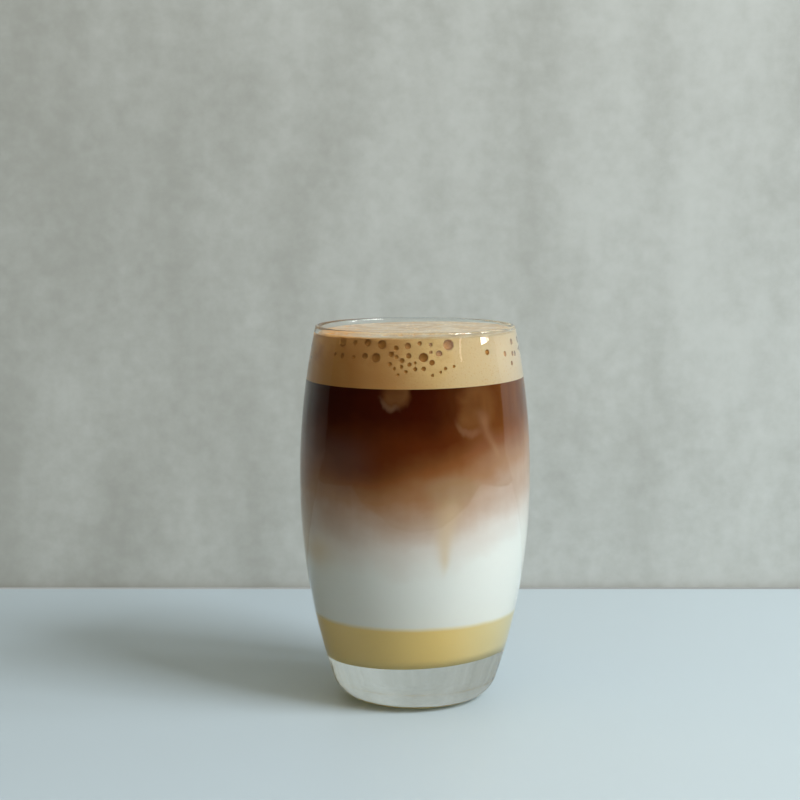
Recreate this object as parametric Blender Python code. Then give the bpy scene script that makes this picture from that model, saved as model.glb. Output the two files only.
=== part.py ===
"""Iced latte in a barrel-shaped glass tumbler, filled nearly to the lip.

Metres, +Z up. The origin is on the table, on the glass's axis, and the front faces -Y.
From the bottom up the drink is condensed milk, milk, coffee and foam. Each is a separate solid that
stands a small gap clear of the glass and of the next layer. The foam has round bubble pits where
it lies against the glass, and shallower ones on top.
"""

import math
import random

import bmesh
import bpy
from mathutils import Matrix, Vector

MM = 0.001

# The glass. Its outer wall is two arcs that meet upright at the belly, and a heel that rolls under it.
GLASS_HEIGHT = 120.0 * MM
BELLY_RADIUS = 36.95 * MM
BELLY_HEIGHT = 71.1 * MM
LOWER_WALL_ARC = 204.5 * MM
UPPER_WALL_ARC = 231.5 * MM
HEEL_ARC = 9.7 * MM
LIP_THICKNESS = 1.5 * MM
FOOT_THICKNESS = 2.0 * MM
FLOOR_HEIGHT = 15.6 * MM
FLOOR_CORNER = 3.0 * MM
FLOOR_SLANT = math.tan(math.radians(2.8))
PUNT_RADIUS = 12.0 * MM
PUNT_DEPTH = 1.4 * MM

# The drink. The heights are where its layers meet on the axis. All of them rise a little towards +X, as
# the glass stands a little out of plumb, and each has a slow swell of its own.
CREAM_TOP = 28.8 * MM
MILK_TOP = 63.3 * MM
COFFEE_TOP = 103.3 * MM
FOAM_TOP = 118.6 * MM
DRINK_SLANT = math.tan(math.radians(0.8))
CREAM_SWELL = 0.25 * MM
MILK_SWELL = 2.4 * MM
FOAM_SWELL = 0.15 * MM
TOP_SWELL = 0.25 * MM
FOAM_EDGE = 0.5 * MM
GAP = 0.3 * MM

# The largest bubbles at the front of the foam: degrees round from the front towards +X, how far below
# the foam's top, and diameter.
FRONT_BUBBLES = [
    (-44.5, 2.3 * MM, 2.7 * MM),
    (-43.5, 6.4 * MM, 1.5 * MM),
    (-35.5, 2.2 * MM, 1.5 * MM),
    (-28.5, 6.0 * MM, 1.8 * MM),
    (-27.5, 1.9 * MM, 2.1 * MM),
    (-22.0, 6.3 * MM, 2.8 * MM),
    (-19.0, 2.3 * MM, 2.7 * MM),
    (-13.5, 5.1 * MM, 1.6 * MM),
    (-11.0, 3.3 * MM, 1.5 * MM),
    (-7.5, 6.9 * MM, 1.4 * MM),
    (-4.5, 2.6 * MM, 1.8 * MM),
    (-4.0, 5.5 * MM, 1.5 * MM),
    (-3.5, 8.1 * MM, 1.2 * MM),
    (4.0, 6.0 * MM, 2.7 * MM),
    (4.0, 9.3 * MM, 1.2 * MM),
    (8.5, 7.5 * MM, 1.5 * MM),
    (12.5, 4.9 * MM, 1.8 * MM),
    (18.0, 2.4 * MM, 3.2 * MM),
    (42.5, 5.2 * MM, 1.6 * MM),
]
SIDE_BUBBLES = 32
TOP_BUBBLES = 22
SIDE_BUBBLE_DIAMETERS = (1.3 * MM, 2.7 * MM)
TOP_BUBBLE_DIAMETERS = (1.4 * MM, 3.2 * MM)
FRONT_HALF_WIDTH = math.radians(52)
BUBBLE_SPACING = 1.25
BUBBLE_SEED = 7

SEGMENTS = 60
ARC_STEPS = 6
WALL_STEPS = 13


def clear_scene():
    for obj in list(bpy.data.objects):
        bpy.data.objects.remove(obj)


def wall_sagitta(arc, drop):
    """How far an arc of that radius has come in from its upright point, a height of drop away."""
    return arc - math.sqrt(arc**2 - drop**2)


def heel_centre_radius():
    """The heel's arc touches the table and, from inside, the lower wall's arc."""
    between = LOWER_WALL_ARC - HEEL_ARC
    rise = BELLY_HEIGHT - HEEL_ARC
    return BELLY_RADIUS - LOWER_WALL_ARC + math.sqrt(between**2 - rise**2)


def heel_top():
    """The height at which the heel's arc runs into the wall's."""
    share = LOWER_WALL_ARC / (LOWER_WALL_ARC - HEEL_ARC)
    return BELLY_HEIGHT - (BELLY_HEIGHT - HEEL_ARC) * share


def outer_radius(height):
    if height < heel_top():
        return heel_centre_radius() + math.sqrt(HEEL_ARC**2 - (HEEL_ARC - height) ** 2)
    arc = UPPER_WALL_ARC if height > BELLY_HEIGHT else LOWER_WALL_ARC
    return BELLY_RADIUS - wall_sagitta(arc, height - BELLY_HEIGHT)


def cavity_radius(height):
    """The inner wall: thin at the lip, thicker towards the foot, and rounded into the floor."""
    down = (GLASS_HEIGHT - height) / (GLASS_HEIGHT - FLOOR_HEIGHT)
    radius = outer_radius(height) - LIP_THICKNESS - (FOOT_THICKNESS - LIP_THICKNESS) * down**2
    into_corner = max(0.0, (FLOOR_HEIGHT + FLOOR_CORNER - height) / FLOOR_CORNER)
    return radius - FLOOR_CORNER * (1 - math.sqrt(max(0.0, 1 - into_corner**2)))


def slanted(point):
    """The floor is pressed a little out of level. The slant fades out where the first layer ends."""
    x, y, z = point
    share = min(1.0, max(0.0, (CREAM_TOP - z) / (CREAM_TOP - FLOOR_HEIGHT)))
    return (x, y, z + FLOOR_SLANT * x * share)


def steps(low, high, count):
    return [low + (high - low) * i / count for i in range(count + 1)]


def turned_ring(radius, height):
    angles = [2 * math.pi * i / SEGMENTS for i in range(SEGMENTS)]
    return [(radius * math.cos(a), radius * math.sin(a), height) for a in angles]


def punt_profile():
    """The shallow dome pressed up under the foot."""
    return [(PUNT_RADIUS * s, PUNT_DEPTH * (1 - s**2)) for s in (0.3, 0.6, 0.85, 1.0)]


def heel_profile():
    centre = heel_centre_radius()
    top = math.asin((HEEL_ARC - heel_top()) / HEEL_ARC)
    angles = steps(-math.pi / 2, -top, ARC_STEPS)
    return [(centre + HEEL_ARC * math.cos(a), HEEL_ARC * (1 + math.sin(a))) for a in angles]


def lip_profile():
    """A half circle over the lip, from the outer wall to the inner one."""
    half = LIP_THICKNESS / 2
    height = GLASS_HEIGHT - half
    centre = outer_radius(height) - half
    angles = steps(0, math.pi, ARC_STEPS)
    return [(centre + half * math.cos(a), height + half * math.sin(a)) for a in angles]


def outer_wall_profile():
    heights = steps(heel_top(), GLASS_HEIGHT - LIP_THICKNESS / 2, WALL_STEPS)
    return [(outer_radius(z), z) for z in heights[1:-1]]


def corner_heights(bottom):
    """Heights round the floor's corner, from the wall down to the floor, closer together at the floor."""
    turns = [math.radians(90) * i / ARC_STEPS for i in range(ARC_STEPS + 1)]
    return [bottom + FLOOR_CORNER * (1 - math.sin(a)) for a in turns]


def cavity_profile():
    wall = steps(GLASS_HEIGHT - LIP_THICKNESS / 2, FLOOR_HEIGHT + FLOOR_CORNER, WALL_STEPS)
    heights = wall[1:-1] + corner_heights(FLOOR_HEIGHT)
    profile = [(cavity_radius(z), z) for z in heights]
    floor_edge = profile[-1][0]
    return profile + [(floor_edge * s, FLOOR_HEIGHT) for s in (0.66, 0.33)]


def uneven(x, y, size, turn):
    """The drink's slant and a slow swell, up to about size high, worked out from two crossing waves."""
    u = (x * math.cos(turn) + y * math.sin(turn)) / BELLY_RADIUS
    v = (y * math.cos(turn) - x * math.sin(turn)) / BELLY_RADIUS
    return DRINK_SLANT * x + size * (0.62 * math.sin(2.1 * u + 0.4) + 0.38 * math.cos(3.4 * v + 1.1))


def cream_surface(x, y):
    return CREAM_TOP + uneven(x, y, CREAM_SWELL, 0.3)


def milk_surface(x, y):
    """Coffee has sunk further into the milk on the left than on the right."""
    return MILK_TOP + uneven(x, y, MILK_SWELL, math.pi)


def coffee_surface(x, y):
    return COFFEE_TOP + uneven(x, y, FOAM_SWELL, 2.2)


def foam_surface(x, y):
    return FOAM_TOP + uneven(x, y, TOP_SWELL, 1.2)


def closed_body(name, pole_below, rings, pole_above, colour, roughness, **settings):
    """One closed mesh from a stack of rings, with a fan of faces to a single point at each end."""
    bm = bmesh.new()
    below = bm.verts.new(pole_below)
    above = bm.verts.new(pole_above)
    rows = [[bm.verts.new(p) for p in ring] for ring in rings]
    for i in range(SEGMENTS):
        j = (i + 1) % SEGMENTS
        bm.faces.new((below, rows[0][j], rows[0][i]))
        bm.faces.new((above, rows[-1][i], rows[-1][j]))
        for low, high in zip(rows, rows[1:]):
            bm.faces.new((low[i], low[j], high[j], high[i]))
    bmesh.ops.recalc_face_normals(bm, faces=bm.faces)
    mesh = bpy.data.meshes.new(name)
    bm.to_mesh(mesh)
    bm.free()
    mesh.shade_smooth()
    mesh.set_sharp_from_angle(angle=math.radians(40))
    mesh.materials.append(finish(name, colour, roughness, **settings))
    obj = bpy.data.objects.new(name, mesh)
    bpy.context.scene.collection.objects.link(obj)
    return obj


def finish(name, colour, roughness, transmission=0.0):
    material = bpy.data.materials.new(name)
    material.use_nodes = True
    shader = material.node_tree.nodes["Principled BSDF"]
    shader.inputs["Base Color"].default_value = (*colour, 1.0)
    shader.inputs["Roughness"].default_value = roughness
    shader.inputs["Metallic"].default_value = 0.0
    shader.inputs["Transmission Weight"].default_value = transmission
    return material


def make_glass():
    outside = punt_profile() + heel_profile() + outer_wall_profile()
    rings = [turned_ring(r, z) for r, z in outside + lip_profile()]
    rings += [[slanted(p) for p in turned_ring(r, z)] for r, z in cavity_profile()]
    return closed_body(
        "glass", (0, 0, PUNT_DEPTH), rings, (0, 0, FLOOR_HEIGHT),
        colour=(0.93, 0.96, 0.95), roughness=0.02, transmission=1.0,
    )


def wall_point(angle, low, high, share):
    """A point a gap inside the cavity's wall, that share of the way from one surface to the next."""
    direction = Vector((math.cos(angle), math.sin(angle), 0))
    edge = direction * cavity_radius((CREAM_TOP + FOAM_TOP) / 2)
    bottom = low(edge.x, edge.y) + GAP / 2
    height = bottom + (high(edge.x, edge.y) - GAP / 2 - bottom) * share
    return direction * (cavity_radius(height) - GAP) + Vector((0, 0, height))


def wall_rings(low, high, count):
    angles = [2 * math.pi * i / SEGMENTS for i in range(SEGMENTS)]
    return [[wall_point(a, low, high, s) for a in angles] for s in steps(0, 1, count)]


def surface_rings(edge, surface, offset, shares):
    """Rings across a surface, at those shares of the way out to the ring at its edge."""
    rings = []
    for share in shares:
        flat = [(p[0] * share, p[1] * share) for p in edge]
        rings.append([(x, y, surface(x, y) + offset) for x, y in flat])
    return rings


def make_layer(name, low, high, rows, colour, roughness):
    """A layer of drink between two uneven surfaces. It follows the cavity's wall between them."""
    walls = wall_rings(low, high, rows)
    under = surface_rings(walls[0], low, GAP / 2, (0.25, 0.5, 0.75))
    over = surface_rings(walls[-1], high, -GAP / 2, (0.75, 0.5, 0.25))
    bottom = (0, 0, low(0, 0) + GAP / 2)
    top = (0, 0, high(0, 0) - GAP / 2)
    return closed_body(name, bottom, under + walls + over, top, colour, roughness)


def make_condensed_milk():
    """The first layer fills the rounded floor of the glass, a gap above it."""
    bottom = FLOOR_HEIGHT + GAP
    corner = [(cavity_radius(z - GAP) - GAP, z) for z in reversed(corner_heights(bottom))]
    rings = [turned_ring(corner[0][0] * s, bottom) for s in (0.33, 0.66)]
    rings += [turned_ring(r, z) for r, z in corner]
    rings = [[slanted(p) for p in ring] for ring in rings]
    corner_top = bottom + FLOOR_CORNER
    walls = wall_rings(lambda x, y: corner_top - GAP / 2, cream_surface, 3)[1:]
    rings += [[slanted(p) for p in ring] for ring in walls]
    rings += surface_rings(walls[-1], cream_surface, -GAP / 2, (0.75, 0.5, 0.25))
    top = (0, 0, cream_surface(0, 0) - GAP / 2)
    return closed_body("condensed_milk", (0, 0, bottom), rings, top, (0.78, 0.60, 0.28), 0.35)


def make_foam():
    """The foam's upper edge is rounded, and its surface lies just below the lip."""
    foam = make_layer(
        "foam", coffee_surface, lambda x, y: foam_surface(x, y) - FOAM_EDGE, 4,
        (0.66, 0.43, 0.22), 0.55,
    )
    for vertex in foam.data.vertices:
        x, y, z = vertex.co
        if z < (COFFEE_TOP + FOAM_TOP) / 2:
            continue
        inward = cavity_radius(z) - GAP - math.hypot(x, y)
        into_edge = min(1.0, max(0.0, inward / (3 * FOAM_EDGE)))
        height = foam_surface(x, y) - GAP / 2 - FOAM_EDGE
        if z > height - GAP:
            vertex.co.z = height + FOAM_EDGE * math.sin(into_edge * math.pi / 2)
    return foam


def side_bubble(angle, below_top, diameter):
    """A bubble's centre, on the foam's side, and its radius. Angles run from the front towards +X."""
    height = FOAM_TOP - below_top
    radius = cavity_radius(height) - GAP
    return Vector((radius * math.sin(angle), -radius * math.cos(angle), height)), diameter / 2


def top_bubble(angle, out, diameter):
    """A bubble's centre, a little above the foam's surface so that its pit is shallow, and its radius."""
    x, y = out * math.sin(angle), -out * math.cos(angle)
    return Vector((x, y, foam_surface(x, y) + diameter * 0.18)), diameter / 2


def drawn_side_bubble(draw):
    """Away from the front. The bubbles get smaller with depth, as small ones rise slowest."""
    angle = draw.uniform(FRONT_HALF_WIDTH, 2 * math.pi - FRONT_HALF_WIDTH)
    depth = draw.random()
    small, large = SIDE_BUBBLE_DIAMETERS
    diameter = small + (large - small) * (1 - depth) * draw.uniform(0.3, 1.0)
    return side_bubble(angle, 2.6 * MM + depth * 8.0 * MM, diameter)


def drawn_top_bubble(draw):
    """Over the whole surface, with more of them near the glass."""
    out = 28.5 * MM * math.sqrt(draw.uniform(0.04, 1.0))
    diameter = draw.uniform(*TOP_BUBBLE_DIAMETERS) * draw.uniform(0.6, 1.0)
    return top_bubble(draw.uniform(0, 2 * math.pi), out, diameter)


def clear_of(bubble, others):
    centre, radius = bubble
    return all((centre - c).length > BUBBLE_SPACING * (radius + r) for c, r in others)


def bubbles():
    """The large bubbles placed by eye, then drawn ones that keep clear of all before them."""
    found = [side_bubble(math.radians(a), below, d) for a, below, d in FRONT_BUBBLES]
    draw = random.Random(BUBBLE_SEED)
    for draw_one, count in ((drawn_side_bubble, SIDE_BUBBLES), (drawn_top_bubble, TOP_BUBBLES)):
        wanted = len(found) + count
        while len(found) < wanted:
            bubble = draw_one(draw)
            if clear_of(bubble, found):
                found.append(bubble)
    return found


def cut_bubbles(foam):
    """One cutter holds all the bubbles as round balls, and a single Boolean takes them out."""
    bm = bmesh.new()
    for centre, radius in bubbles():
        place = Matrix.Translation(centre) @ Matrix.Rotation(centre.x / MM, 4, "Z")
        bmesh.ops.create_icosphere(bm, subdivisions=1, radius=radius, matrix=place)
    mesh = bpy.data.meshes.new("bubble_cutter")
    bm.to_mesh(mesh)
    bm.free()
    cutter = bpy.data.objects.new("bubble_cutter", mesh)
    bpy.context.scene.collection.objects.link(cutter)
    cutter.hide_render = True
    cutter.display_type = "WIRE"
    cut = foam.modifiers.new("bubbles", "BOOLEAN")
    cut.operation = "DIFFERENCE"
    cut.solver = "EXACT"
    cut.object = cutter


def main():
    clear_scene()
    make_glass()
    make_condensed_milk()
    make_layer("milk", cream_surface, milk_surface, 6, (0.83, 0.84, 0.80), 0.35)
    make_layer("coffee", milk_surface, coffee_surface, 7, (0.10, 0.028, 0.012), 0.3)
    cut_bubbles(make_foam())


main()
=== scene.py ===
"""The looks of an iced latte in a barrel-shaped glass: metres, +Z up, with the front facing -Y.

Glass, drink and foam are surfaces turned about the glass's axis, and uneven where the real ones are.
"""

import math
import random

import bpy
import numpy as np
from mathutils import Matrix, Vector


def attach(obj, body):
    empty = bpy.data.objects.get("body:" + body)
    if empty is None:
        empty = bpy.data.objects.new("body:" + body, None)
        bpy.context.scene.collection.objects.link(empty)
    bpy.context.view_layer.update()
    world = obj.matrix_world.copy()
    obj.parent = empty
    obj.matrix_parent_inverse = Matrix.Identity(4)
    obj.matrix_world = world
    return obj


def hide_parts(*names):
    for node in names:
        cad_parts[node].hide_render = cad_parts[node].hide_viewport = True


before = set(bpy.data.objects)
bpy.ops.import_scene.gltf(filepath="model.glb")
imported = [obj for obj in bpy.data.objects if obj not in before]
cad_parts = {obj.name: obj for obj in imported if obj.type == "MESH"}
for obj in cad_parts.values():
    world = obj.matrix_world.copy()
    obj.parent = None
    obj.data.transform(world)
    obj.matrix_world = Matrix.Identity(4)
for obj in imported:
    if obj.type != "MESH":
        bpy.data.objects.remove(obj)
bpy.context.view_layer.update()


# The camera is half a metre away and a little above the glass. It looks slightly down, and the glass
# stands just right of the picture's middle.
MM = 0.001
CAMERA_PLACE = (-4.8 * MM, -0.55, 164.1 * MM)
CAMERA_TILT = math.radians(7.07)
CAMERA_LENS = 78.07

lens = bpy.data.cameras.new("camera")
lens.lens = CAMERA_LENS
camera = bpy.data.objects.new("camera", lens)
camera.location = CAMERA_PLACE
camera.rotation_euler = (math.radians(90) - CAMERA_TILT, 0, 0)
bpy.context.scene.collection.objects.link(camera)
bpy.context.scene.camera = camera


# The tumbler is clear pressed glass with a fire-polished lip and a thick base. It is one turned wall: two
# arcs outside, a rolled heel, a flat foot ring round a shallow punt, and a floor a little out of level.
GLASS_HEIGHT = 120.0 * MM
BELLY_RADIUS = 36.91 * MM
BELLY_HEIGHT = 71.1 * MM
LOWER_WALL_ARC = 204.5 * MM
UPPER_WALL_ARC = 231.5 * MM
HEEL_ARC = 9.7 * MM
LIP_THICKNESS = 1.5 * MM
FOOT_THICKNESS = 2.0 * MM
FLOOR_HEIGHT = 15.6 * MM
FLOOR_CORNER = 3.0 * MM
FLOOR_SLANT = math.tan(math.radians(2.8))
PUNT_RADIUS = 12.0 * MM
PUNT_DEPTH = 1.4 * MM
CREAM_TOP = 28.8 * MM
TUMBLER_AROUND = 288
SHARP_EDGE = math.radians(50)
CLEAR_GLASS_COLOUR = (0.97, 0.99, 0.98, 1.0)
# Ripples in the glass are lumps of these sizes, and the base's fade out upwards. All in millimetres.
WALL_RIPPLE = 11
BASE_RIPPLE = 7
BASE_RIPPLE_FADE = (24, 12)


def heel_centre():
    """The heel's arc touches the table and, from inside, the lower wall's arc."""
    between = LOWER_WALL_ARC - HEEL_ARC
    return BELLY_RADIUS - LOWER_WALL_ARC + math.sqrt(between**2 - (BELLY_HEIGHT - HEEL_ARC) ** 2)


def heel_top():
    """The height at which the heel's arc runs into the wall's."""
    share = LOWER_WALL_ARC / (LOWER_WALL_ARC - HEEL_ARC)
    return BELLY_HEIGHT - (BELLY_HEIGHT - HEEL_ARC) * share


def outer_radius(z):
    """Two arcs that meet upright at the belly, and the heel's arc below them."""
    heel = heel_centre() + np.sqrt(np.maximum(0, HEEL_ARC**2 - (HEEL_ARC - z) ** 2))
    arc = np.where(z > BELLY_HEIGHT, UPPER_WALL_ARC, LOWER_WALL_ARC)
    wall = BELLY_RADIUS - arc + np.sqrt(arc**2 - (z - BELLY_HEIGHT) ** 2)
    return np.where(z < heel_top(), heel, wall)


def cavity_radius(z):
    """The outer radius less a thickness that grows as the square of the depth, rounded into the floor."""
    down = (GLASS_HEIGHT - z) / (GLASS_HEIGHT - FLOOR_HEIGHT)
    radius = outer_radius(z) - LIP_THICKNESS - (FOOT_THICKNESS - LIP_THICKNESS) * down**2
    into_corner = np.clip((FLOOR_HEIGHT + FLOOR_CORNER - z) / FLOOR_CORNER, 0, 1)
    return radius - FLOOR_CORNER * (1 - np.sqrt(1 - into_corner**2))


def corner_heights(bottom, count):
    """Heights round the floor's corner from the wall down, at even turns of its quarter circle."""
    return bottom + FLOOR_CORNER * (1 - np.sin(np.linspace(0, math.pi / 2, count)))


def turned(radius, z, around):
    """Each point of a profile carried round the axis: rows of points, by places round."""
    angle = np.arange(around) * 2 * math.pi / around
    x = radius[:, None] * np.cos(angle)
    y = radius[:, None] * np.sin(angle)
    return np.stack([x, y, np.broadcast_to(z[:, None], x.shape)], axis=-1)


def slanted(points):
    """Raised in proportion to x, in full at the floor and not at all where the first layer ends."""
    share = np.clip((CREAM_TOP - points[..., 2]) / (CREAM_TOP - FLOOR_HEIGHT), 0, 1)
    points[..., 2] += FLOOR_SLANT * points[..., 0] * share
    return points


def closed_surface(name, rows, low_pole, high_pole):
    """Quads over rows of points that close round the axis, with a fan to one point at either end."""
    count, around = rows.shape[:2]
    points = np.concatenate([rows.reshape(-1, 3), [low_pole], [high_pole]])
    here = np.arange(around)
    beside = np.roll(here, -1)
    row = (np.arange(count - 1) * around)[:, None]
    quads = np.stack([row + here, row + beside, row + beside + around, row + here + around], axis=-1)
    last = (count - 1) * around
    low_fan = np.stack([beside, here, np.full(around, count * around)], axis=-1)
    high_fan = np.stack([last + here, last + beside, np.full(around, count * around + 1)], axis=-1)
    mesh = bpy.data.meshes.new(name)
    faces = quads.reshape(-1, 4).tolist() + low_fan.tolist() + high_fan.tolist()
    mesh.from_pydata(points.tolist(), [], faces)
    mesh.shade_smooth()
    mesh.set_sharp_from_angle(angle=SHARP_EDGE)
    piece = bpy.data.objects.new(name, mesh)
    bpy.context.scene.collection.objects.link(piece)
    return piece


class Wire:
    """An output of a material's node. Sums of wires add Math nodes, and node() adds any other kind."""

    def __init__(self, tree, socket=None):
        self.tree = tree
        self.socket = socket

    def node(self, kind, settings=None, inputs=None, output=0):
        """A node with its settings made first, then the values or links of its sockets."""
        made = self.tree.nodes.new("ShaderNode" + kind)
        for name, value in (settings or {}).items():
            if name == "stops":
                set_stops(made.color_ramp, value)
            else:
                setattr(made, name, value)
        for name, value in (inputs or {}).items():
            if isinstance(value, Wire):
                self.tree.links.new(value.socket, made.inputs[name])
            else:
                made.inputs[name].default_value = value
        return Wire(self.tree, made.outputs[output]) if made.outputs else None

    def math(self, operation, *values):
        """A Math node of those values or wires alone. This wire only says which material it is in."""
        return self.node("Math", {"operation": operation}, dict(enumerate(values)))

    def __add__(self, other):
        return self.math("ADD", self, other)

    def __sub__(self, other):
        return self.math("SUBTRACT", self, other)

    def __rsub__(self, other):
        return self.math("SUBTRACT", other, self)

    def __mul__(self, other):
        return self.math("MULTIPLY", self, other)

    def __truediv__(self, other):
        return self.math("DIVIDE", self, other)

    def __pow__(self, other):
        return self.math("POWER", self, other)

    __radd__ = __add__
    __rmul__ = __mul__

    def step(self, start, end):
        """0 at start, 1 at end and smooth between them."""
        inputs = {"Value": self, "From Min": start, "From Max": end}
        return self.node("MapRange", {"interpolation_type": "SMOOTHSTEP"}, inputs)

    def blend(self, first, second):
        """The first colour where this wire is 0, and the second where it is 1."""
        ends = [end if isinstance(end, Wire) else (*end, 1.0) for end in (first, second)]
        return self.node("Mix", {"data_type": "RGBA"}, {0: self, 6: ends[0], 7: ends[1]}, output=2)

    def noise(self, size, detail=2.0, squash=(1, 1, 1)):
        """Noise from -0.5 to 0.5 at this position. Lumps have that size, times squash along each axis."""
        scale = [1 / (size * part) for part in squash]
        place = self.node("VectorMath", {"operation": "MULTIPLY"}, {0: self, 1: scale})
        return place.node("TexNoise", {}, {"Vector": place, "Scale": 1.0, "Detail": detail}) - 0.5

    def axes(self):
        """The x, y and z of this position."""
        return [self.node("SeparateXYZ", {}, {0: self}, output=i) for i in range(3)]


def set_stops(ramp, stops):
    """A ramp has two stops of its own, so only the others are added. Each is a place and a colour."""
    while len(ramp.elements) < len(stops):
        ramp.elements.new(1.0)
    for element, (place, colour) in zip(ramp.elements, stops):
        element.position = place
        element.color = (*colour, 1.0)


def new_finish(name):
    """An empty material, and the wire of the surface's position in millimetres from the glass's foot."""
    finish = bpy.data.materials.new(name)
    finish.use_nodes = True
    finish.node_tree.nodes.clear()
    place = Wire(finish.node_tree).node("TexCoord", output=3)
    return finish, place.node("VectorMath", {"operation": "SCALE"}, {0: place, "Scale": 1 / MM})


def cover(piece, finish, shader, body_slot, *nodes):
    """The shader becomes the finish's surface, and the piece wears it in place of those solids."""
    shader.node("OutputMaterial", {}, {"Surface": shader})
    piece.data.materials.append(finish)
    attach(piece, "root")
    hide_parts(*nodes)


def glass_profile():
    """From the punt's middle over the foot and up the wall to the lip, then down inside to the floor."""
    share = np.linspace(0.02, 1, 30)
    punt = np.stack([PUNT_RADIUS * share, PUNT_DEPTH * (1 - share**2)])
    turn = np.linspace(-math.pi / 2, -math.asin(1 - heel_top() / HEEL_ARC), 40)
    heel = np.stack([heel_centre() + HEEL_ARC * np.cos(turn), HEEL_ARC * (1 + np.sin(turn))])
    rounding = LIP_THICKNESS / 2
    lip_start = GLASS_HEIGHT - rounding
    z = np.linspace(heel_top(), lip_start, 80)[1:-1]
    wall = np.stack([outer_radius(z), z])
    turn = np.linspace(0, math.pi, 24)
    middle = outer_radius(lip_start) - rounding
    lip = np.stack([middle + rounding * np.cos(turn), lip_start + rounding * np.sin(turn)])
    z = np.linspace(lip_start, FLOOR_HEIGHT + FLOOR_CORNER, 60)[1:-1]
    z = np.concatenate([z, corner_heights(FLOOR_HEIGHT, 30)])
    inside = np.stack([cavity_radius(z), z])
    share = np.linspace(1, 0.02, 24)[1:]
    floor = np.stack([inside[0, -1] * share, np.full(share.shape, FLOOR_HEIGHT)])
    return (punt, heel, wall, lip), (inside, floor)


outside, inside = glass_profile()
outside = turned(*np.concatenate(outside, axis=1), TUMBLER_AROUND)
inside = slanted(turned(*np.concatenate(inside, axis=1), TUMBLER_AROUND))
rows = np.concatenate([outside, inside])
tumbler = closed_surface("tumbler", rows, (0, 0, PUNT_DEPTH), (0, 0, FLOOR_HEIGHT))
finish, place = new_finish("pressed_glass")
x, y, z = place.axes()
ripple = place.noise(WALL_RIPPLE, detail=1.0)
ripple = ripple + z.step(*BASE_RIPPLE_FADE) * place.noise(BASE_RIPPLE, detail=2.0)
bump = place.node("Bump", {}, {"Strength": 0.07, "Distance": 0.002, "Height": ripple})
shader = place.node("BsdfPrincipled", {}, {
    "Base Color": CLEAR_GLASS_COLOUR, "Roughness": 0.0, "IOR": 1.5, "Transmission Weight": 1.0,
    "Normal": bump,
})
cover(tumbler, finish, shader, "glass", "glass")


# Under the foam are three liquids that have run a little into each other: sweet condensed milk, milk and
# coffee. Each is poured in turn, and reaches just into the glass, as liquid wets it.
MILK_TOP = 63.3 * MM
COFFEE_TOP = 103.3 * MM
FOAM_TOP = 118.6 * MM
DRINK_SLANT = math.tan(math.radians(0.8))
# How far each surface swells, and which way its longer wave runs.
CREAM_SWELL = (0.25 * MM, 0.3)
MILK_SWELL = (2.4 * MM, math.pi)
COFFEE_SWELL = (0.15 * MM, 2.2)
FOAM_SWELL = (0.25 * MM, 1.2)
# A wave's share of the swell, its turn over the belly's radius, and where it starts.
LONG_WAVE = (0.62, 2.1, 0.4)
CROSS_WAVE = (0.38, 3.4, 1.1)
BITE = 0.2 * MM
DRINK_AROUND = 240


def uneven(x, y, swell):
    """The drink's slant and a slow swell: a wave along one direction and a weaker one across it."""
    size, turn = swell
    along = (x * math.cos(turn) + y * math.sin(turn)) / BELLY_RADIUS
    across = (y * math.cos(turn) - x * math.sin(turn)) / BELLY_RADIUS
    share, rate, start = LONG_WAVE
    wave = share * np.sin(rate * along + start)
    share, rate, start = CROSS_WAVE
    return DRINK_SLANT * x + size * (wave + share * np.cos(rate * across + start))


def cream_surface(x, y):
    """Where the condensed milk ends: almost flat, as it is thick."""
    return CREAM_TOP + uneven(x, y, CREAM_SWELL)


def milk_surface(x, y):
    """Half-way down the fade from coffee to milk, in long low waves."""
    return MILK_TOP + uneven(x, y, MILK_SWELL)


def coffee_surface(x, y):
    """Where the foam floats: almost flat."""
    return COFFEE_TOP + uneven(x, y, COFFEE_SWELL)


def wall_rows(low, high, count, around=DRINK_AROUND):
    """Rows up the glass's wall and just into it, at even shares of the height between two surfaces."""
    angle = np.arange(around) * 2 * math.pi / around
    edge = cavity_radius((CREAM_TOP + FOAM_TOP) / 2)
    x, y = edge * np.cos(angle), edge * np.sin(angle)
    share = np.linspace(0, 1, count)[:, None]
    z = low(x, y) * (1 - share) + high(x, y) * share
    radius = cavity_radius(z) + BITE
    return np.stack([radius * np.cos(angle), radius * np.sin(angle), z], axis=-1)


def surface_rows(edge, surface, shares):
    """Rows across a surface, at those shares of the way out to the row at its edge."""
    flat = edge[None, :, :2] * np.asarray(shares)[:, None, None]
    return np.concatenate([flat, surface(flat[..., 0], flat[..., 1])[..., None]], axis=-1)


def layer(name, low, high, count):
    """A layer between two surfaces: across the lower one, up the wall, and back across the upper."""
    wall = wall_rows(low, high, count)
    under = surface_rows(wall[0], low, np.linspace(0.1, 0.9, 9))
    over = surface_rows(wall[-1], high, np.linspace(0.9, 0.1, 9))
    rows = np.concatenate([under, wall, over])
    return closed_surface(name, rows, (0, 0, low(0, 0)), (0, 0, high(0, 0)))


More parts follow.
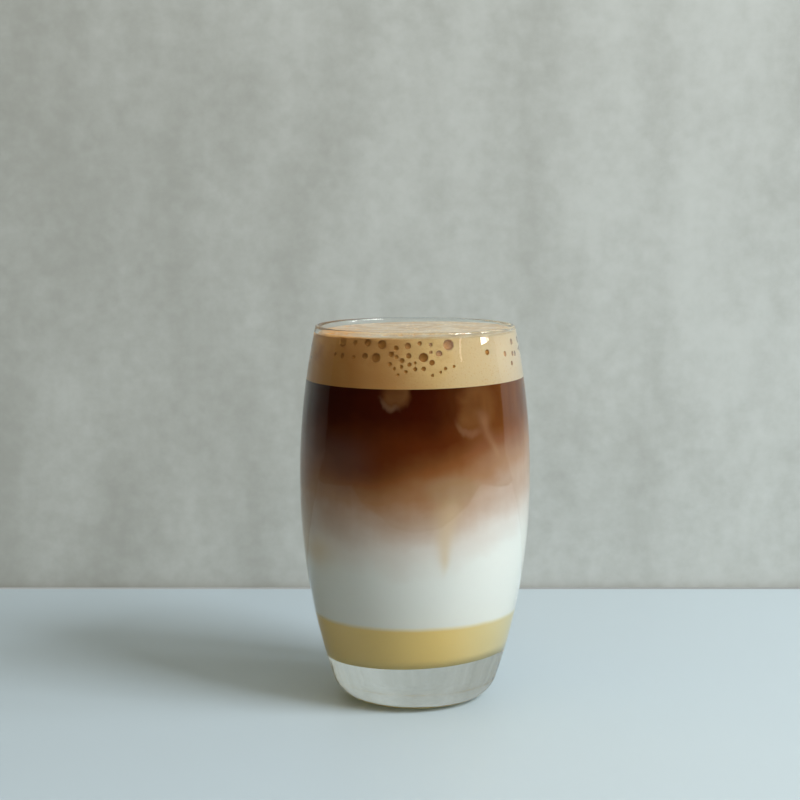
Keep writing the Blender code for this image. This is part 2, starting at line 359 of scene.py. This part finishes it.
def sweet_layer():
    """The first layer starts on the floor, just into it, and rounds its corner."""
    bottom = FLOOR_HEIGHT - BITE
    z = corner_heights(FLOOR_HEIGHT, 16)[::-1]
    radius = cavity_radius(z) + BITE
    share = np.linspace(0.1, 0.9, 9)
    corner = z - BITE * (1 - (z - FLOOR_HEIGHT) / FLOOR_CORNER)
    z = np.concatenate([np.full(share.shape, bottom), corner])
    floor = turned(np.concatenate([radius[0] * share, radius]), z, DRINK_AROUND)
    wall = wall_rows(lambda x, y: FLOOR_HEIGHT + FLOOR_CORNER + 0 * x, cream_surface, 14)[1:]
    rows = slanted(np.concatenate([floor, wall]))
    over = surface_rows(rows[-1], cream_surface, np.linspace(0.9, 0.1, 9))
    top = (0, 0, cream_surface(0, 0))
    return closed_surface("sweet_milk", np.concatenate([rows, over]), (0, 0, bottom), top)


# From here on, places and sizes in the drink's colours are in millimetres: across from the glass's middle,
# and up from its foot. Where something grows or fades, they are its start and its end.
CREAM_COLOUR = (0.85, 0.645, 0.23)
PALE_CREAM_COLOUR = (0.70, 0.64, 0.38)
CREAM_PALES = (5, 33)
DRINK_HEIGHTS = (45, 105)
DRINK_COLOURS = (
    (45, (0.85, 0.885, 0.86)),
    (53, (0.79, 0.755, 0.71)),
    (61, (0.61, 0.475, 0.375)),
    (68.5, (0.45, 0.245, 0.12)),
    (76, (0.31, 0.12, 0.038)),
    (85, (0.135, 0.030, 0.0055)),
    (95, (0.056, 0.0075, 0.0010)),
    (105, (0.040, 0.0045, 0.0007)),
)
DEEP_COLOUR = (0.16, 0.04, 0.008)
# Painted light on the coffee at the right.
LIT_COLOUR = (0.21, 0.072, 0.017)
THREAD_COLOUR = (0.74, 0.60, 0.40)
# The glass's painted reflection on the drink's sides.
SIDE_REFLECTION_COLOUR = (0.55, 0.60, 0.62)
ICE_COLOUR = (0.30, 0.135, 0.045)
# The painted highlight on the ice's lower rims, and on a faint streak by the ice.
ICE_RIM_HIGHLIGHT_COLOUR = (0.55, 0.36, 0.21)
CLOUD_COLOUR = (0.45, 0.34, 0.20)
# The fade stands higher at the right, even more further up, and as before under the foam.
RISE = 9
RISE_ACROSS = (4, 32)
FURTHER_RISE = 4
FURTHER_RISE_UP = (70, 84)
RISE_ENDS = (98, 88)
# Soft bumps in the fade: middle, size and how much darker they make it, in millimetres of height.
FADE_BUMPS = (((11, 73), (9, 6), -4), ((0, 76), (8, 6), -2.5), ((-14, 80), (11, 7), 6))
CLOUD_SIZE = 15
CLOUD_LIFT = 10
THREAD_SIZE = 4
THREAD_LIFT = 2.5
# Painted light on the upper coffee at the right, and the glass's painted reflection on the drink's sides.
LIT_ACROSS = (0, 28)
LIT_UP = (80, 94)
LEFT_SIDE = (-8, -30)
RIGHT_SIDE = (12, 30)
SIDE_REFLECTION_STARTS = (50, 60)
SIDE_REFLECTION_ENDS = (92, 80)
SIDE_REFLECTION_STRENGTH = 0.12
# Ice just under the foam, and a cloud of milk, show as paler patches: middle, half size and strength.
ICE_PATCHES = (((-6.4, 102.5), (4.8, 5.2), 0.75), ((18, 97), (5.5, 7.5), 0.5))
# Each ice patch has a painted highlight on its lower rim.
ICE_RIM_HIGHLIGHT_STRENGTH = 0.18
CLOUD_PATCH = ((11, 72.5), (9, 4.5), 0.4)
# Soft spots: middle, size and strength.
DEEP_SPOT = ((-15, 80), (10, 5), 0.5)
CREAMY_SPOT = ((-31, 51), (6, 5), 0.75)
# Sinking milk, and a faint painted highlight by the ice: a thread's top, bottom, width and strength.
THREAD = ((9.5, 67), (8, 44), 3.6, 0.65)
ICE_HIGHLIGHT_STREAK = ((20, 94), (26, 79), 1.3, 0.22)


def spot(x, z, middle, size):
    """1 in the middle and soft outwards: the exponential of minus the squared distance over the size."""
    across, up = (x - middle[0]) / size[0], (z - middle[1]) / size[1]
    return x.math("EXPONENT", 0 - across * across - up * up)


def patch(x, z, middle, size):
    """A round patch, 1 inside it, and a painted highlight on its lower rim. Both go by distance over half
    size.
    """
    across, up = (x - middle[0]) / size[0], (z - middle[1]) / size[1]
    away = (across * across + up * up) ** 0.5
    rim = away.step(0.75, 1.0) * away.step(1.3, 1.05) * up.step(-0.2, -0.8) * across.step(0.5, -0.2)
    return away.step(1.2, 0.6), rim


def soft_upright_line(x, z, top, bottom, width):
    """Soft to both sides of an upright line and thinner further down: sinking milk, and a painted
    highlight.
    """
    share = (z - bottom[1]) / (top[1] - bottom[1])
    line = share * (top[0] - bottom[0]) + bottom[0]
    across = (x - line) / (share * width + 0.4)
    return x.math("EXPONENT", 0 - across * across) * share.step(0, 0.35) * share.step(1.25, 0.9)


def faded(place, x, z, cloud, threads):
    """Milk to coffee by height. The height is less where the fade rises, and more in bumps and clouds."""
    rise = RISE + FURTHER_RISE * z.step(*FURTHER_RISE_UP)
    height = z - rise * x.step(*RISE_ACROSS) * z.step(*RISE_ENDS)
    for middle, size, darker in FADE_BUMPS:
        height = height + darker * spot(x, z, middle, size)
    height = height + CLOUD_LIFT * cloud + THREAD_LIFT * threads
    start, end = DRINK_HEIGHTS
    stops = [((level - start) / (end - start), colour) for level, colour in DRINK_COLOURS]
    return place.node("ValToRGB", {"stops": stops}, {0: (height - start) / (end - start)})


def drink_colour(place):
    """The fade, with painted light and reflection, ice and sinking milk in it, and the cream under it all.
    """
    x, y, z = place.axes()
    x, z = x + 3 * place.noise(14), z + 2 * place.noise(11)
    cloud = place.noise(CLOUD_SIZE, detail=3.0, squash=(1, 1, 0.7))
    threads = place.noise(THREAD_SIZE, detail=3.0, squash=(1, 1, 7))
    drink = faded(place, x, z, cloud, threads)
    # Painted light on the upper coffee at the right.
    lit = x.step(*LIT_ACROSS) * z.step(*LIT_UP) * (0.7 + 1.2 * threads)
    drink = lit.blend(drink, LIT_COLOUR)
    middle, size, strength = DEEP_SPOT
    drink = (strength * spot(x, z, middle, size)).blend(drink, DEEP_COLOUR)
    # Ice as paler patches, each with a painted highlight on its lower rim.
    for middle, size, strength in ICE_PATCHES:
        body, rim = patch(x + 8 * cloud, z + 6 * threads, middle, size)
        drink = (strength * body * (0.8 + 2 * cloud)).blend(drink, ICE_COLOUR)
        drink = (ICE_RIM_HIGHLIGHT_STRENGTH * rim).blend(drink, ICE_RIM_HIGHLIGHT_COLOUR)
    middle, size, strength = CLOUD_PATCH
    drink = (strength * patch(x + 8 * cloud, z, middle, size)[0]).blend(drink, CLOUD_COLOUR)
    # The glass's painted reflection, paling the drink's sides.
    sides = x.step(*LEFT_SIDE) + x.step(*RIGHT_SIDE)
    sides = sides * z.step(*SIDE_REFLECTION_STARTS) * z.step(*SIDE_REFLECTION_ENDS)
    drink = (SIDE_REFLECTION_STRENGTH * sides).blend(drink, SIDE_REFLECTION_COLOUR)
    # A thread of sinking milk, and a faint painted highlight streak by the ice.
    for (*line, strength), colour in ((THREAD, THREAD_COLOUR), (ICE_HIGHLIGHT_STREAK, ICE_RIM_HIGHLIGHT_COLOUR)):
        drink = (strength * soft_upright_line(x, z, *line)).blend(drink, colour)
    middle, size, strength = CREAMY_SPOT
    drink = (strength * spot(x, z, middle, size)).blend(drink, THREAD_COLOUR)
    x, y, z = place.axes()
    top = CREAM_TOP / MM + DRINK_SLANT * x + 0.5 * place.noise(7)
    cream = x.step(*CREAM_PALES).blend(CREAM_COLOUR, PALE_CREAM_COLOUR)
    return (z - top).step(-1.0, 1.0).blend(cream, drink)


for piece, node, slot in (
    (sweet_layer(), "condensed_milk", "condensed_milk"),
    (layer("white_milk", cream_surface, milk_surface, 30), "milk", "milk"),
    (layer("dark_coffee", milk_surface, coffee_surface, 34), "coffee", "coffee"),
):
    finish, place = new_finish(piece.name)
    shader = place.node("BsdfPrincipled", {}, {
        "Base Color": drink_colour(place), "Roughness": 0.5, "Specular IOR Level": 0.0,
    })
    cover(piece, finish, shader, slot, node)


# The foam is milk froth stained by the coffee. Bubbles lie against the glass as round pits, the small
# ones lower down, and its wet top has bubbles of all sizes. It ends just under the lip. Its side and its
# top are two pieces, each fine enough for the bubbles.
FOAM_EDGE = 0.5 * MM
FOAM_SIDE_AROUND = 1080
FOAM_TOP_AROUND = 840
FOAM_HALF_WIDTH = 33
FOAM_COLOURS = (
    (-33, (0.61, 0.36, 0.12)),
    (-20, (0.52, 0.262, 0.083)),
    (-6, (0.595, 0.362, 0.14)),
    (6, (0.73, 0.54, 0.255)),
    (33, (0.655, 0.575, 0.43)),
)
# Coffee stains the foam's left side, in a band above the coffee and in mottles under the top.
STAIN_COLOUR = (0.50, 0.255, 0.085)
BAND_UP = (110, 104.5)
BAND_ACROSS = (14, -4)
BAND_STRENGTH = 0.35
MOTTLES_UP = (106, 113)
MOTTLES_ACROSS = (16, 0)
MOTTLES_STRENGTH = 0.7
PALE_CREMA_COLOUR = (0.53, 0.455, 0.325)
CREMA_COLOUR = (0.43, 0.295, 0.14)
# Painted shade: the bubbles' pits and specks are a darker brown, darkest round a pit's edge.
BUBBLE_EDGE_SHADE_COLOUR = (0.44, 0.205, 0.055)
BUBBLE_SHADE_COLOUR = (0.53, 0.26, 0.07)
FRONT_HALF_WIDTH = math.radians(52)
SMALL_FRONT_HALF_WIDTH = math.radians(75)
SIDE_BUBBLES = 32
TOP_BUBBLES = 22
SIDE_BUBBLE_DIAMETERS = (1.3 * MM, 2.7 * MM)
TOP_BUBBLE_DIAMETERS = (1.4 * MM, 3.2 * MM)
SIDE_BUBBLE_DEPTHS = (2.6 * MM, 10.6 * MM)
# The least, the most and the commonest depth, in millimetres.
SMALL_SIDE_BUBBLE_DEPTHS = (1.5, 13.0, 8.0)
TOP_BUBBLE_REACH = 28.5 * MM
SMALL_TOP_BUBBLE_REACH = 29.5 * MM
TOP_BUBBLE_RISE = 0.18
PIT_SHARE = 0.8
BUBBLE_SPACING = 1.25
BUBBLE_SEED = 7
SMALL_SIDE_BUBBLES = 40
SMALL_TOP_BUBBLES = 180
SMALL_BUBBLE_DIAMETERS = (0.7 * MM, 1.3 * MM)


def foam_surface(x, y):
    """The foam's top: almost flat."""
    return FOAM_TOP + uneven(x, y, FOAM_SWELL)


# Degrees round from the front towards +X, then millimetres below the foam's top, and diameter.
FRONT_BUBBLES = [
    (-44.5, 2.3, 2.7),
    (-43.5, 6.4, 1.5),
    (-35.5, 2.2, 1.5),
    (-28.5, 6.0, 1.8),
    (-27.5, 1.9, 2.1),
    (-22.0, 6.3, 2.8),
    (-19.0, 2.3, 2.7),
    (-13.5, 5.1, 1.6),
    (-11.0, 3.3, 1.5),
    (-7.5, 6.9, 1.4),
    (-4.5, 2.6, 1.8),
    (-4.0, 5.5, 1.5),
    (-3.5, 8.1, 1.2),
    (4.0, 6.0, 2.7),
    (4.0, 9.3, 1.2),
    (8.5, 7.5, 1.5),
    (12.5, 4.9, 1.8),
    (18.0, 2.4, 3.2),
    (42.5, 5.2, 1.6),
]
SMALL_FRONT_BUBBLES = [
    (-49.0, 6.1, 1.1),
    (-35.5, 6.6, 1.2),
    (-14.0, 8.1, 1.2),
    (-11.5, 9.4, 0.9),
    (-10.5, 6.0, 1.2),
    (-9.5, 11.2, 0.8),
    (-7.7, 8.7, 1.0),
    (-5.4, 10.2, 0.9),
    (-0.5, 9.4, 1.1),
    (-0.5, 7.6, 0.8),
    (2.0, 1.8, 1.2),
    (8.0, 2.2, 1.0),
    (8.0, 4.5, 0.9),
    (8.6, 11.3, 0.8),
    (13.0, 10.4, 0.8),
    (15.6, 9.4, 1.0),
    (20.4, 8.8, 0.8),
]


def side_bubble(angle, below_top, diameter):
    """A bubble's centre, on the foam's side, and its radius. Angles run from the front towards +X."""
    height = FOAM_TOP - below_top
    radius = float(cavity_radius(height))
    return Vector((radius * math.sin(angle), -radius * math.cos(angle), height)), diameter / 2


def top_bubble(angle, out, diameter):
    """A bubble's centre, a little above the foam so that its pit is shallow, and its radius."""
    x, y = out * math.sin(angle), -out * math.cos(angle)
    return Vector((x, y, foam_surface(x, y) + diameter * TOP_BUBBLE_RISE)), diameter / 2


def drawn_side_bubble(draw):
    """Away from the front. The bubbles get smaller with depth, as small ones rise slowest."""
    angle = draw.uniform(FRONT_HALF_WIDTH, 2 * math.pi - FRONT_HALF_WIDTH)
    depth = draw.random()
    small, large = SIDE_BUBBLE_DIAMETERS
    diameter = small + (large - small) * (1 - depth) * draw.uniform(0.3, 1.0)
    high, low = SIDE_BUBBLE_DEPTHS
    return side_bubble(angle, high + depth * (low - high), diameter)


def drawn_top_bubble(draw):
    """Over the whole surface, with more of them near the glass."""
    out = TOP_BUBBLE_REACH * math.sqrt(draw.uniform(0.04, 1.0))
    diameter = draw.uniform(*TOP_BUBBLE_DIAMETERS) * draw.uniform(0.6, 1.0)
    return top_bubble(draw.uniform(0, 2 * math.pi), out, diameter)


def small_side_bubble(draw):
    """Away from the front, and thickest half-way down the foam."""
    angle = draw.uniform(SMALL_FRONT_HALF_WIDTH, 2 * math.pi - SMALL_FRONT_HALF_WIDTH)
    below = draw.triangular(*SMALL_SIDE_BUBBLE_DEPTHS) * MM
    return side_bubble(angle, below, draw.uniform(*SMALL_BUBBLE_DIAMETERS))


def small_top_bubble(draw):
    """Evenly over the whole surface."""
    out = SMALL_TOP_BUBBLE_REACH * math.sqrt(draw.random())
    return top_bubble(draw.uniform(0, 2 * math.pi), out, draw.uniform(*SMALL_BUBBLE_DIAMETERS))


def clear_of(bubble, others):
    """Whether every other centre is further off than both radii together, times the spacing."""
    centre, radius = bubble
    return all((centre - c).length > BUBBLE_SPACING * (radius + r) for c, r in others)


def placed(table):
    """The bubbles of a table of angles, depths and diameters."""
    return [side_bubble(math.radians(angle), below * MM, size * MM) for angle, below, size in table]


def add_drawn(found, draw, draw_one, count):
    """Adds that many bubbles, each drawn again until it keeps clear of all before it."""
    wanted = len(found) + count
    while len(found) < wanted:
        bubble = draw_one(draw)
        if clear_of(bubble, found):
            found.append(bubble)


def bubbles():
    """The larger bubbles, then the small ones. Each time those listed come first."""
    draw = random.Random(BUBBLE_SEED)
    found = placed(FRONT_BUBBLES)
    add_drawn(found, draw, drawn_side_bubble, SIDE_BUBBLES)
    add_drawn(found, draw, drawn_top_bubble, TOP_BUBBLES)
    found += placed(SMALL_FRONT_BUBBLES)
    add_drawn(found, draw, small_side_bubble, SMALL_SIDE_BUBBLES)
    add_drawn(found, draw, small_top_bubble, SMALL_TOP_BUBBLES)
    return found


def pits(points, inward, found):
    """How deep each point sinks along its inward direction to lie on a bubble's ball, and its share.

    Half the chord through the ball is the root of the radius squared less the squared distance from the
    centre to that line. The depth is the chord's far end, or nothing where the line misses the ball, and
    the share is the depth over the radius.
    """
    depth = np.zeros(points.shape[:-1])
    share = np.zeros(points.shape[:-1])
    for centre, radius in found:
        near = np.abs(points - np.array(centre)).max(-1) < radius
        if not near.any():
            continue
        away = np.array(centre) - points[near]
        along = (away * inward[near]).sum(-1)
        chord = np.sqrt(np.maximum(0, radius**2 - (away**2).sum(-1) + along**2))
        sunk = np.where(chord > 0, np.maximum(0, along + chord), 0)
        share[near] = np.maximum(share[near], np.minimum(1, sunk / radius))
        depth[near] = np.maximum(depth[near], sunk)
    return depth, share


def froth(name, rows, inward, found, low_pole, high_pole):
    """Rows of foam with the bubbles' pits pressed into them, and their shares kept as an attribute."""
    depth, share = pits(rows, inward, found)
    piece = closed_surface(name, rows + inward * PIT_SHARE * depth[..., None], low_pole, high_pole)
    values = np.concatenate([share.ravel(), [0, 0]]).astype(np.float32)
    piece.data.attributes.new("pit", "FLOAT", "POINT").data.foreach_set("value", values)
    return piece


def foam_wall(count, around):
    """Rows up the foam's side, to where its shoulder starts."""
    return wall_rows(coffee_surface, lambda x, y: foam_surface(x, y) - FOAM_EDGE, count, around)


def foam_side(found):
    """Under the foam and up its side. Its top is closed inside the other piece."""
    wall = foam_wall(76, FOAM_SIDE_AROUND)
    under = surface_rows(wall[0], coffee_surface, (0.5, 0.95))
    rows = np.concatenate([under, wall])
    inward = np.concatenate([-rows[..., :2], np.zeros((*rows.shape[:2], 1))], axis=-1)
    inward /= np.linalg.norm(inward, axis=-1, keepdims=True)
    low = (0, 0, coffee_surface(0, 0))
    return froth("foam_side", rows, inward, found, low, (0, 0, foam_surface(0, 0) - 3 * FOAM_EDGE))


def foam_top(found):
    """Round the foam's shoulder and across its top, from the row where its side ends."""
    edge = foam_wall(2, FOAM_TOP_AROUND)[-1]
    shoulder = 3 * FOAM_EDGE
    inward = np.concatenate([np.linspace(0, shoulder, 9), np.linspace(shoulder, 31 * MM, 100)[1:]])
    rows = surface_rows(edge, foam_surface, 1 - inward / np.hypot(edge[0, 0], edge[0, 1]))
    turn = np.clip(inward / shoulder, 0, 1) * math.pi / 2
    rows[..., 2] -= (FOAM_EDGE * (1 - np.sin(turn)))[:, None]
    down = np.broadcast_to((0.0, 0.0, -1.0), rows.shape)
    top = foam_surface(0, 0)
    return froth("foam_top", rows, down, found, (0, 0, top - 4 * FOAM_EDGE), (0, 0, top))


found = bubbles()
for piece in (foam_side(found), foam_top(found)):
    finish, place = new_finish(piece.name)
    x, y, z = place.axes()
    pit = place.node("Attribute", {"attribute_name": "pit"}, output=2)
    specks = place.node("TexVoronoi", {}, {"Vector": place, "Scale": 1.1, "Randomness": 1.0})
    stops = [((side / FOAM_HALF_WIDTH + 1) / 2, colour) for side, colour in FOAM_COLOURS]
    across = (x + 16 * place.noise(9, detail=4.0)) / (2 * FOAM_HALF_WIDTH) + 0.5
    tan = place.node("ValToRGB", {"stops": stops}, {0: across})
    band = z.step(*BAND_UP) * x.step(*BAND_ACROSS)
    tan = (BAND_STRENGTH * band).blend(tan, STAIN_COLOUR)
    mottles = place.noise(6, detail=2.0, squash=(1.3, 1, 0.7)).step(-0.02, 0.16)
    mottles = mottles * z.step(*MOTTLES_UP) * x.step(*MOTTLES_ACROSS)
    tan = (MOTTLES_STRENGTH * mottles).blend(tan, STAIN_COLOUR)
    # Small bubbles as specks of painted shade.
    tan = (0.35 * specks.step(0.26, 0.14)).blend(tan, BUBBLE_SHADE_COLOUR)
    drift = place.node("TexNoise", {}, {"Vector": place, "Scale": 0.07}, output=1)
    drift = place.node("VectorMath", {"operation": "SCALE"}, {0: drift, "Scale": 14.0})
    swirl = place.node("VectorMath", {"operation": "ADD"}, {0: place, 1: drift})
    crema = swirl.noise(7, detail=5.0).step(-0.14, 0.12).blend(CREMA_COLOUR, PALE_CREMA_COLOUR)
    above = z - FOAM_TOP / MM
    tan = (0.85 * above.step(-0.7, -0.2)).blend(tan, crema)
    # Painted shade in the pits, darkest round their edges.
    colour = pit.step(0.05, 0.4).blend(tan, BUBBLE_EDGE_SHADE_COLOUR)
    colour = pit.step(0.6, 0.98).blend(colour, BUBBLE_SHADE_COLOUR)
    grain = place.noise(0.5, detail=1.0)
    bump = place.node("Bump", {}, {"Strength": 0.25, "Distance": 0.0002, "Height": grain})
    shader = place.node("BsdfPrincipled", {}, {
        "Base Color": colour, "Roughness": 0.5, "Specular IOR Level": 0.1, "Normal": bump,
        "Coat Weight": above.step(-0.8, -0.3), "Coat Roughness": 0.2,
    })
    cover(piece, finish, shader, "foam", "foam")


# The table is a pale smooth board. A plain pale grey cloth hangs close behind the glass, a little clear
# of the board's edge, and is seen from its front only, so it hides nothing from views from behind.
TABLE_HALF_WIDTH = 0.45
TABLE_FRONT = -0.23
TABLE_BACK = 0.1446
CLOTH_PLACE = 0.1475
CLOTH_HALF_WIDTH = 1.0
CLOTH_HEIGHT = 0.7
TABLE_COLOUR = (0.385, 0.47, 0.53)
# The board's painted shade to the left, and painted light falloff at its far left.
TABLE_LEFT_SHADE_COLOUR = (0.362, 0.452, 0.525)
TABLE_FAR_LEFT_SHADE_COLOUR = (0.15, 0.17, 0.18)
CLOTH_COLOUR = (0.44, 0.48, 0.48)
# The cloth's painted shade in its creases and at its far left.
CLOTH_FOLD_SHADE_COLOUR = (0.315, 0.34, 0.33)
CLOTH_FAR_LEFT_SHADE_COLOUR = (0.12, 0.12, 0.11)


def flat_sheet(name, corners, finish):
    """One four-cornered face that wears the finish."""
    mesh = bpy.data.meshes.new(name)
    mesh.from_pydata(corners, [], [(0, 1, 2, 3)])
    mesh.materials.append(finish)
    sheet = bpy.data.objects.new(name, mesh)
    bpy.context.scene.collection.objects.link(sheet)


finish, place = new_finish("board_with_painted_shade")
x, y, z = place.axes()
# Painted shade: the board is darker to the left, and much darker at its far left.
board_shade = x.step(-60, 60).blend(TABLE_LEFT_SHADE_COLOUR, TABLE_COLOUR)
board_shade = (0.6 * x.step(-220, -430)).blend(board_shade, TABLE_FAR_LEFT_SHADE_COLOUR)
shader = place.node("BsdfPrincipled", {}, {
    "Base Color": board_shade, "Roughness": 0.45, "Specular IOR Level": 0.3,
})
shader.node("OutputMaterial", {}, {"Surface": shader})
x, near, far = TABLE_HALF_WIDTH, TABLE_FRONT, TABLE_BACK
flat_sheet("table", [(-x, near, 0), (x, near, 0), (x, far, 0), (-x, far, 0)], finish)

finish, place = new_finish("grey_cloth")
# Painted shade: the cloth is darker in its creases and towards the left, and much darker at its far left.
crease_shade = place.noise(70, detail=3.0, squash=(0.5, 1, 1.6)) + 0.5
weave = place.noise(5, detail=5.0)
x, y, z = place.axes()
shade = (crease_shade + 0.5 * weave + 0.4 * x.step(-350, 350) - 0.2).step(0.1, 0.9)
shaded_linen = shade.blend(CLOTH_FOLD_SHADE_COLOUR, CLOTH_COLOUR)
shaded_linen = (0.5 * x.step(-180, -420)).blend(shaded_linen, CLOTH_FAR_LEFT_SHADE_COLOUR)
front = place.node("BsdfPrincipled", {}, {
    "Base Color": shaded_linen, "Roughness": 0.9, "Specular IOR Level": 0.1,
})
behind = place.node("BsdfTransparent")
facing = place.node("NewGeometry", output=6)
shader = place.node("MixShader", {}, {0: facing, 1: front, 2: behind})
shader.node("OutputMaterial", {}, {"Surface": shader})
x, y, z = CLOTH_HALF_WIDTH, CLOTH_PLACE, CLOTH_HEIGHT
flat_sheet("cloth", [(-x, y, 0), (x, y, 0), (x, y, z), (-x, y, z)], finish)


# Daylight comes from a window of two panes at the right, and more of it from high at the front right.
# A wide sky light and warm light from the left fill the shadows, and aren't seen mirrored in the glass.
DAYLIGHT = (1.0, 1.0, 0.98)
WARM_LIGHT = (1.0, 0.78, 0.46)
# Past the cloth and the lights, the glass mirrors a dark place, and the camera sees a pale one.
DARK_AROUND = (0.02, 0.019, 0.018)
SEEN_AROUND = (0.36, 0.38, 0.375)
LIGHT_AIM = Vector((0, 0, 0.1))
LIGHT_DISTANCE = 1.6


def soft_light(name, turn, low, high, width, radiance, colour=DAYLIGHT, mirrored=True):
    """A rectangle facing the glass: degrees round from the front, two elevations, width and radiance."""
    up, turn = math.radians((low + high) / 2), math.radians(turn)
    lamp = bpy.data.lights.new(name, "AREA")
    lamp.shape = "RECTANGLE"
    lamp.size = 2 * LIGHT_DISTANCE * math.tan(math.radians(width / 2))
    lamp.size_y = 2 * LIGHT_DISTANCE * math.tan(math.radians((high - low) / 2))
    lamp.energy = radiance * math.pi * lamp.size * lamp.size_y
    lamp.color = colour
    light = bpy.data.objects.new(name, lamp)
    away = Vector((math.sin(turn) * math.cos(up), -math.cos(turn) * math.cos(up), math.sin(up)))
    light.location = LIGHT_AIM + away * LIGHT_DISTANCE
    light.rotation_euler = away.to_track_quat("Z", "Y").to_euler()
    light.visible_camera = False
    light.visible_glossy = mirrored
    bpy.context.scene.collection.objects.link(light)


soft_light("window", 82.5, 11.5, 26, 7, 25)
soft_light("second_pane", 89.5, 11.5, 26, 6, 10)
soft_light("narrow_window", 51, 12, 20, 2.2, 3.5)
soft_light("high_window", 59, 28, 48, 24, 26)
soft_light("sky", 35, 15, 50, 40, 1.8, mirrored=False)
soft_light("warm_fill", -50, 20, 90, 110, 0.75, colour=WARM_LIGHT, mirrored=False)
soft_light("back_fill", 200, 25, 75, 60, 0.9, mirrored=False)
world = bpy.data.worlds.new("surroundings")
world.use_nodes = True
seen = Wire(world.node_tree).node("LightPath").blend(DARK_AROUND, SEEN_AROUND)
world.node_tree.links.new(seen.socket, world.node_tree.nodes["Background"].inputs["Color"])
bpy.context.scene.world = world
bpy.context.scene.view_settings.view_transform = "Standard"
